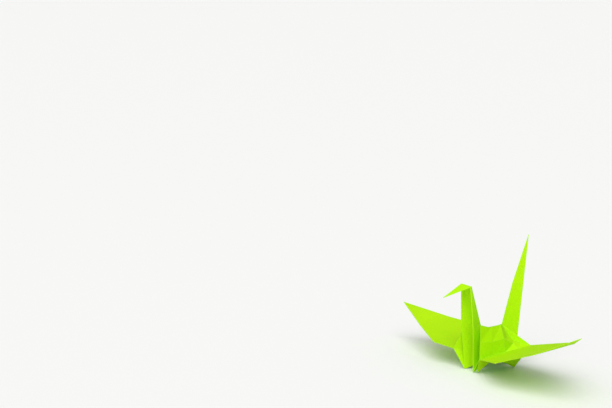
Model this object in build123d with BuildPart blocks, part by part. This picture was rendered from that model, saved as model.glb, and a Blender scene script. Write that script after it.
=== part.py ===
from build123d import *
from math import cos, pi, radians, sin, tan
import os

# An origami crane, folded from one square sheet of paper and never cut.
# The head points to -Y, the tail to +Y, the near wing to +X, and it stands on +Z = 0.
# The body's sides and top are creased into flat triangles, and every other panel is flat.
# The layers of the wings lie apart. Those of the legs, the neck, the head and the tail are pressed together.

# The sheet
sheet_side = 150.0
paper_thickness = 0.10
layer_pitch = 0.20
fold_lap = 0.15
wing_edge_angle = 22.5
narrowing_angle = 11.25
slit_width = 0.4
leg_layers = 2
strip_layers = 4

# The wings: their root creases, where they bend again outside the widest chord, and each one's own pose
root_half_width = 12.2
root_height = 10.8
wing_bend_share = 0.55
near_wing = {"side": 1, "root_to_widest": 28.0, "sweep": 6.0, "roll": 9.5}
near_wing.update({"rise": 13.0, "middle_rise": 18.0, "tip_rise": 24.0})
far_wing = {"side": -1, "root_to_widest": 13.0, "sweep": 10.0, "roll": 2.0}
far_wing.update({"rise": 6.0, "middle_rise": 9.0, "tip_rise": 12.0})

# The body: each side's rim from its shoulder over its ridge to the hip, and a top that is pushed in
near_wing.update({"shoulder": (13.2, -15.6, 26.4), "ridge": (12.0, -3.0, 25.5)})
near_wing.update({"sag": 1.3, "hip_sag": 3.3})
far_wing.update({"shoulder": (5.5, -12.5, 22.0), "ridge": (9.0, -1.0, 18.5)})
far_wing.update({"sag": 0.0, "hip_sag": 0.0})
hip_half_width = 2.8
hip_reach = 11.6
hip_height = 14.8
dent_reach = -3.0
dent_height = 21.0
crown_reach = 6.0
crown_height = 22.0
belly_share = 0.5
belly_swell = 0.8

# The standing tips of the legs, and the feet of the slit between each wing's two leg panels
front_tip_half_width = 5.9
front_tip_reach = 12.7
rear_tip_half_width = 4.6
rear_tip_reach = 11.0
front_slit_half_width = 9.2
front_slit_reach = 6.2
front_slit_height = 6.5
rear_slit_half_width = 9.2
rear_slit_reach = 0.2
rear_slit_height = 5.2

# The neck and the head
spine_foot_reach = 1.0
spine_foot_height = 5.0
neck_foot_half_width = 4.0
neck_foot_reach = 13.7
neck_middle_half_width = 5.6
neck_middle_reach = 15.2
neck_middle_height = 24.0
neck_middle_depth = 7.7
bend_half_width = 4.4
bend_reach = 16.3
bend_height = 44.5
bend_depth = 3.4
bend_slope = 18.0
beak_side = 6.0
beak_reach = 33.2
beak_height = 41.0

# The tail
tail_foot_half_width = 3.3
tail_foot_reach = 11.6
tail_tip_reach = 21.2
tail_tip_height = 67.6
tail_bow_share = 0.6
tail_bow = 1.3

# The flat fold's proportions, from the sheet
half_side = sheet_side / 2
narrowing = tan(radians(narrowing_angle))
wing_slope = tan(radians(wing_edge_angle))
widest_station = sheet_side * wing_slope / (wing_slope + narrowing)
widest_half_chord = widest_station * narrowing
widest_to_tip = sheet_side - widest_station
pocket_depth = half_side * (1 + wing_slope * narrowing)


def plate(*corners, layers=1):
    # One flat facet of so many pressed layers, its mid surface on the corners, run a hair past its folds.
    centre = sum(corners, Vector(0, 0, 0)) * (1 / len(corners))
    corners = [corner + (corner - centre).normalized() * fold_lap for corner in corners]
    first_side = corners[1] - corners[0]
    plane = Plane(corners[0], first_side, first_side.cross(corners[2] - corners[0]))
    with BuildSketch(plane) as facet:
        with BuildLine():
            Polyline([plane.to_local_coords(corner) for corner in corners], close=True)
        make_face()
    facets.append(extrude(facet.sketch, amount=layers * paper_thickness / 2, both=True, mode=Mode.PRIVATE))


def wing_frame(wing):
    # The middle of the root crease, the outward directions of the wing's three runs, and the chord's.
    sweep, roll = radians(wing["sweep"]), radians(wing["roll"])
    level = Vector(wing["side"] * cos(sweep), -sin(sweep), 0)
    rises = [radians(wing[name]) for name in ("rise", "middle_rise", "tip_rise")]
    runs = [level * cos(rise) + Vector(0, 0, sin(rise)) for rise in rises]
    chord = Vector(wing["side"] * sin(sweep) * cos(roll), cos(sweep) * cos(roll), sin(roll))
    return Vector(wing["side"] * root_half_width, 0, root_height), runs, chord


def wing_root(wing, end):
    # The end of the root crease on the narrowed edge.
    middle, _, chord = wing_frame(wing)
    return middle + chord * end * (widest_station - wing["root_to_widest"]) * narrowing


def fold_wing(wing):
    # A kite of two layers, where two folded edges meet in a slit underneath between two tucked corners.
    middle, runs, chord = wing_frame(wing)
    inner, mid, outer = runs
    under_inner, under_mid, under_outer = [chord.cross(run) * wing["side"] * layer_pitch for run in runs]
    widest = middle + inner * wing["root_to_widest"]
    bend = widest + mid * widest_to_tip * (1 - wing_bend_share)
    tip = bend + outer * widest_to_tip * wing_bend_share
    flap_depth = widest_station - pocket_depth
    reach = min(1, wing["root_to_widest"] / flap_depth)
    half_chord = chord * widest_half_chord
    bend_half_chord = half_chord * wing_bend_share
    plate(wing_root(wing, -1), wing_root(wing, 1), widest + half_chord, widest - half_chord)
    plate(widest - half_chord, widest + half_chord, bend + bend_half_chord, bend - bend_half_chord)
    plate(bend - bend_half_chord, bend + bend_half_chord, tip)
    for end in (-1, 1):
        root = wing_root(wing, end)
        corner = widest + half_chord * end
        bend_corner = bend + bend_half_chord * end
        slit = chord * end * slit_width / 2
        flap = widest - inner * flap_depth * reach + half_chord * end * (1 - reach) + slit
        for under, face in (
            (under_inner, (root, corner, widest + slit, middle + slit)),
            (under_mid, (corner, bend_corner, bend + slit, widest + slit)),
            (under_outer, (bend_corner, tip, bend + slit)),
        ):
            plate(*[point + under for point in face])
        plate(root, corner, corner + under_inner * 2, root + under_inner * 2)
        plate(corner, bend_corner, bend_corner + under_mid, corner + under_mid)
        plate(bend_corner, tip, tip + under_outer, bend_corner + under_outer)
        plate(root + under_inner * 2, corner + under_inner * 2, flap + under_inner * 2)


def body_rim(wing):
    # One side's rim: the shoulder, the sag behind it, the ridge, the sag over the hip, and the hip.
    side = wing["side"]
    across, along, up = wing["shoulder"]
    shoulder = Vector(side * across, along, up)
    across, along, up = wing["ridge"]
    ridge = Vector(side * across, along, up)
    hip = Vector(side * hip_half_width, hip_reach, hip_height)
    sag = (shoulder + ridge) / 2 - Vector(0, 0, wing["sag"])
    hip_sag = (ridge + hip) / 2 - Vector(0, 0, wing["hip_sag"])
    return [shoulder, sag, ridge, hip_sag, hip]


def fold_flank(wing):
    # One side of the body, from the root crease to the rim, swelling a little halfway up.
    front, rear = wing_root(wing, -1), wing_root(wing, 1)
    rim = body_rim(wing)
    shares = [station / (len(rim) - 1) for station in range(len(rim))]
    crease = [front + (rear - front) * share for share in shares]
    belly = []
    for low, high, share in zip(crease, rim, shares):
        swell = Vector(wing["side"] * belly_swell * sin(pi * share), 0, 0)
        belly.append(low + (high - low) * belly_share + swell)
    for lower, upper in ((crease, belly), (belly, rim)):
        for station in range(len(rim) - 1):
            plate(lower[station], lower[station + 1], upper[station + 1])
            plate(lower[station], upper[station + 1], upper[station])


def fold_top(wing):
    # The pushed-in top, from one side's rim down to the dent and the crown on the middle line.
    shoulder, sag, ridge, hip_sag, hip = body_rim(wing)
    plate(shoulder, sag, dent)
    plate(sag, ridge, dent)
    plate(ridge, crown, dent)
    plate(ridge, hip_sag, crown)
    plate(hip_sag, hip, crown)


def fold_gusset(wing, end, corner, top, foot):
    # The pleat between a flank and the spine, which carries the neck or the tail in its mouth.
    root = wing_root(wing, end)
    spine_foot = Vector(0, end * spine_foot_reach, spine_foot_height)
    plate(top, corner, root)
    plate(top, root, spine_foot)
    plate(root, foot, spine_foot, layers=leg_layers)


def fold_leg(wing, end, tip, slit_foot):
    # The two-layer panel below a wing's root crease, from its narrowed edge to the slit.
    middle, runs, chord = wing_frame(wing)
    drop = chord.cross(runs[0]) * wing["side"] * layer_pitch
    root = wing_root(wing, end) + drop
    crease = middle + chord * end * slit_width / 2 + drop
    plate(root, slit_foot, crease, layers=leg_layers)
    plate(root, tip, slit_foot, layers=leg_layers)
    plate(root, root - drop, tip, layers=leg_layers)


def mirrored(half_width, reach, height):
    # The near and the far point of a pair.
    return Vector(half_width, reach, height), Vector(-half_width, reach, height)


def fold_neck():
    # The neck opens wider as it rises. The head is reversed forward out of its mouth at the bend.
    slope = radians(bend_slope)
    foot_spine = Vector(0, -spine_foot_reach, spine_foot_height)
    middle_spine = Vector(0, neck_middle_depth - neck_middle_reach, neck_middle_height)
    bend_spine = Vector(0, bend_depth * cos(slope) - bend_reach, bend_height - bend_depth * sin(slope))
    beak = Vector(beak_side, -beak_reach, beak_height)
    feet = mirrored(neck_foot_half_width, -neck_foot_reach, 0)
    middles = mirrored(neck_middle_half_width, -neck_middle_reach, neck_middle_height)
    bends = mirrored(bend_half_width, -bend_reach, bend_height)
    for foot, middle, bend in zip(feet, middles, bends):
        plate(foot_spine, foot, middle, layers=strip_layers)
        plate(foot_spine, middle, middle_spine, layers=strip_layers)
        plate(middle_spine, middle, bend, layers=strip_layers)
        plate(middle_spine, bend, bend_spine, layers=strip_layers)
        plate(bend_spine, bend, beak, layers=strip_layers)


def fold_tail():
    # The tail is one strip from its foot to its tip, with its spine bowed a little toward the head.
    spine = Vector(0, spine_foot_reach, spine_foot_height)
    tip = Vector(0, tail_tip_reach, tail_tip_height)
    bow = spine + (tip - spine) * tail_bow_share - Vector(0, tail_bow, 0)
    for foot in mirrored(tail_foot_half_width, tail_foot_reach, 0):
        plate(spine, foot, bow, layers=strip_layers)
        plate(bow, foot, tip, layers=strip_layers)


facets = []
dent = Vector(0, dent_reach, dent_height)
crown = Vector(0, crown_reach, crown_height)
for wing in (near_wing, far_wing):
    side = wing["side"]
    rim = body_rim(wing)
    fold_wing(wing)
    fold_flank(wing)
    fold_top(wing)
    fold_gusset(wing, -1, rim[0], dent, Vector(side * neck_foot_half_width, -neck_foot_reach, 0))
    fold_gusset(wing, 1, rim[-1], crown, Vector(side * tail_foot_half_width, tail_foot_reach, 0))
    front_tip = Vector(side * front_tip_half_width, -front_tip_reach, 0)
    rear_tip = Vector(side * rear_tip_half_width, rear_tip_reach, 0)
    fold_leg(wing, -1, front_tip, Vector(side * front_slit_half_width, -front_slit_reach, front_slit_height))
    fold_leg(wing, 1, rear_tip, Vector(side * rear_slit_half_width, rear_slit_reach, rear_slit_height))
fold_neck()
fold_tail()

with BuildPart() as folded:
    add(facets)

# The origin is on the ground, under the middle of the crane's own extent.
extent = folded.part.bounding_box()
with BuildPart() as crane:
    with Locations((-extent.center().X, -extent.center().Y, -extent.min.Z)):
        add(folded.part)

os.makedirs("parts", exist_ok=True)
crane.part.label = "crane"
export_step(crane.part, "parts/crane.step")
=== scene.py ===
import math

import bmesh
import bpy
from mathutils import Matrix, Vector

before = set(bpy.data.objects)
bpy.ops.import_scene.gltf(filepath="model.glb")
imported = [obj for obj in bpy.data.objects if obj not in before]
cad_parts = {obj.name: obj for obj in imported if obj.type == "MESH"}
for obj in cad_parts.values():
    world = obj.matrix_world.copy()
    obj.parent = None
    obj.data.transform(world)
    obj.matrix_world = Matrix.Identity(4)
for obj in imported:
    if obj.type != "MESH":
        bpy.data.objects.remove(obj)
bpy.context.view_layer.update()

# The table and the light on it: one white surface with no edge in sight, under an open sky of even daylight.
# The brighter light comes from high in front of the near wing, wide enough to leave only soft shadows.
table_size = 60.0
window_spread = 55
window_direction = (0.70, -0.55, 1.0)
table_mesh = bmesh.new()
bmesh.ops.create_grid(table_mesh, x_segments=1, y_segments=1, size=table_size)
table_data = bpy.data.meshes.new("table")
table_mesh.to_mesh(table_data)
table_mesh.free()
table = bpy.data.objects.new("table", table_data)
bpy.context.scene.collection.objects.link(table)

white_card = bpy.data.materials.new("white_card")
white_card.use_nodes = True
card = white_card.node_tree.nodes["Principled BSDF"]
card.inputs["Base Color"].default_value = (0.86, 0.86, 0.85, 1)
card.inputs["Roughness"].default_value = 0.9
card.inputs["Specular IOR Level"].default_value = 0.1
table_data.materials.append(white_card)

room = bpy.data.worlds.new("room")
room.use_nodes = True
bpy.context.scene.world = room
wiring = room.node_tree
daylight = wiring.nodes["Background"]
daylight.inputs["Color"].default_value = (1.0, 1.0, 1.0, 1)
daylight.inputs["Strength"].default_value = 0.5
backdrop = wiring.nodes.new("ShaderNodeBackground")
backdrop.inputs["Color"].default_value = (0.88, 0.89, 0.885, 1)
sight = wiring.nodes.new("ShaderNodeLightPath")
choice = wiring.nodes.new("ShaderNodeMixShader")
wiring.links.new(sight.outputs["Is Camera Ray"], choice.inputs["Fac"])
wiring.links.new(daylight.outputs["Background"], choice.inputs[1])
wiring.links.new(backdrop.outputs["Background"], choice.inputs[2])
wiring.links.new(choice.outputs["Shader"], wiring.nodes["World Output"].inputs["Surface"])

window_data = bpy.data.lights.new("window", "SUN")
window_data.angle = math.radians(window_spread)
window_data.energy = 2.5
window = bpy.data.objects.new("window", window_data)
bpy.context.scene.collection.objects.link(window)
window.rotation_euler = Vector(window_direction).to_track_quat("Z", "Y").to_euler()

# The camera stands low in front of the near wing, on the head's side.
# It sees the crane small, low and to the right, in an empty white field.
camera_place = (0.6005, -0.3981, 0.1942)
camera_tilt = 81.42
camera_turn = 63.85

camera_data = bpy.data.cameras.new("camera")
camera_data.lens = 85
camera_data.sensor_width = 36
camera = bpy.data.objects.new("camera", camera_data)
bpy.context.scene.collection.objects.link(camera)
camera.location = camera_place
camera.rotation_euler = (math.radians(camera_tilt), 0, math.radians(camera_turn))
bpy.context.scene.camera = camera

# The paper: thin, uncoated and dyed lime green right through, so light comes through a single layer.
# It has a fine felt of fibres and a faint cloudiness from the pulp, and a painted highlight lightens each
# fold edge into a paler line.
fibre_scale = 1100
cloud_scale = 45
edge_radius = 0.00035
cloud_colours = ((0.3, (0.55, 0.92, 0.002, 1)), (0.7, (0.61, 0.96, 0.004, 1)))
fibre_colours = ((0.35, (0.92, 0.95, 0.80, 1)), (0.65, (1.0, 1.0, 1.0, 1)))
see_through = 0.28

paper = bpy.data.materials.new("lime_paper")
paper.use_nodes = True
tree = paper.node_tree
surface = tree.nodes["Principled BSDF"]
place = tree.nodes.new("ShaderNodeTexCoord")

fibre = tree.nodes.new("ShaderNodeTexNoise")
fibre.inputs["Scale"].default_value = fibre_scale
fibre.inputs["Detail"].default_value = 6
fibre.inputs["Roughness"].default_value = 0.65
tree.links.new(place.outputs["Object"], fibre.inputs["Vector"])
cloud = tree.nodes.new("ShaderNodeTexNoise")
cloud.inputs["Scale"].default_value = cloud_scale
cloud.inputs["Detail"].default_value = 4
tree.links.new(place.outputs["Object"], cloud.inputs["Vector"])

dye = tree.nodes.new("ShaderNodeValToRGB")
for stop, (position, colour) in zip(dye.color_ramp.elements, cloud_colours):
    stop.position = position
    stop.color = colour
tree.links.new(cloud.outputs["Fac"], dye.inputs["Fac"])
speck = tree.nodes.new("ShaderNodeValToRGB")
for stop, (position, colour) in zip(speck.color_ramp.elements, fibre_colours):
    stop.position = position
    stop.color = colour
tree.links.new(fibre.outputs["Fac"], speck.inputs["Fac"])
body = tree.nodes.new("ShaderNodeMixRGB")
body.blend_type = "MULTIPLY"
body.inputs["Fac"].default_value = 1.0
tree.links.new(dye.outputs["Color"], body.inputs["Color1"])
tree.links.new(speck.outputs["Color"], body.inputs["Color2"])

# Painted highlight: near each fold edge, where the rounded-edge normal turns away from the flat face, the
# colour is lightened towards pale lime to stand in for light caught on the edge.
rounded = tree.nodes.new("ShaderNodeBevel")
rounded.samples = 4
rounded.inputs["Radius"].default_value = edge_radius
flat = tree.nodes.new("ShaderNodeNewGeometry")
turn = tree.nodes.new("ShaderNodeVectorMath")
turn.operation = "DOT_PRODUCT"
tree.links.new(rounded.outputs["Normal"], turn.inputs[0])
tree.links.new(flat.outputs["Normal"], turn.inputs[1])
edge_highlight_mask = tree.nodes.new("ShaderNodeMapRange")
edge_highlight_mask.inputs["From Min"].default_value = 0.995
edge_highlight_mask.inputs["From Max"].default_value = 0.80
edge_highlight_mask.inputs["To Min"].default_value = 0.0
edge_highlight_mask.inputs["To Max"].default_value = 0.28
tree.links.new(turn.outputs["Value"], edge_highlight_mask.inputs["Value"])
# Mix the pale lime of the painted edge highlight into the paper colour.
painted_edge_highlight = tree.nodes.new("ShaderNodeMixRGB")
painted_edge_highlight.inputs["Color2"].default_value = (0.78, 0.98, 0.16, 1)
tree.links.new(edge_highlight_mask.outputs["Result"], painted_edge_highlight.inputs["Fac"])
tree.links.new(body.outputs["Color"], painted_edge_highlight.inputs["Color1"])
tree.links.new(painted_edge_highlight.outputs["Color"], surface.inputs["Base Color"])

finish = tree.nodes.new("ShaderNodeMapRange")
finish.inputs["To Min"].default_value = 0.66
finish.inputs["To Max"].default_value = 0.84
tree.links.new(fibre.outputs["Fac"], finish.inputs["Value"])
tree.links.new(finish.outputs["Result"], surface.inputs["Roughness"])
surface.inputs["Specular IOR Level"].default_value = 0.1

felt = tree.nodes.new("ShaderNodeBump")
felt.inputs["Strength"].default_value = 0.25
felt.inputs["Distance"].default_value = 0.00006
tree.links.new(fibre.outputs["Fac"], felt.inputs["Height"])
tree.links.new(felt.outputs["Normal"], surface.inputs["Normal"])

glow = tree.nodes.new("ShaderNodeBsdfTranslucent")
glow.inputs["Color"].default_value = (0.42, 0.95, 0.001, 1)
tree.links.new(felt.outputs["Normal"], glow.inputs["Normal"])
both = tree.nodes.new("ShaderNodeMixShader")
both.inputs["Fac"].default_value = see_through
tree.links.new(surface.outputs["BSDF"], both.inputs[1])
tree.links.new(glow.outputs["BSDF"], both.inputs[2])
tree.links.new(both.outputs["Shader"], tree.nodes["Material Output"].inputs["Surface"])

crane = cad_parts["crane"]
crane.data.materials.clear()
crane.data.materials.append(paper)

bpy.context.scene.view_settings.view_transform = "Standard"
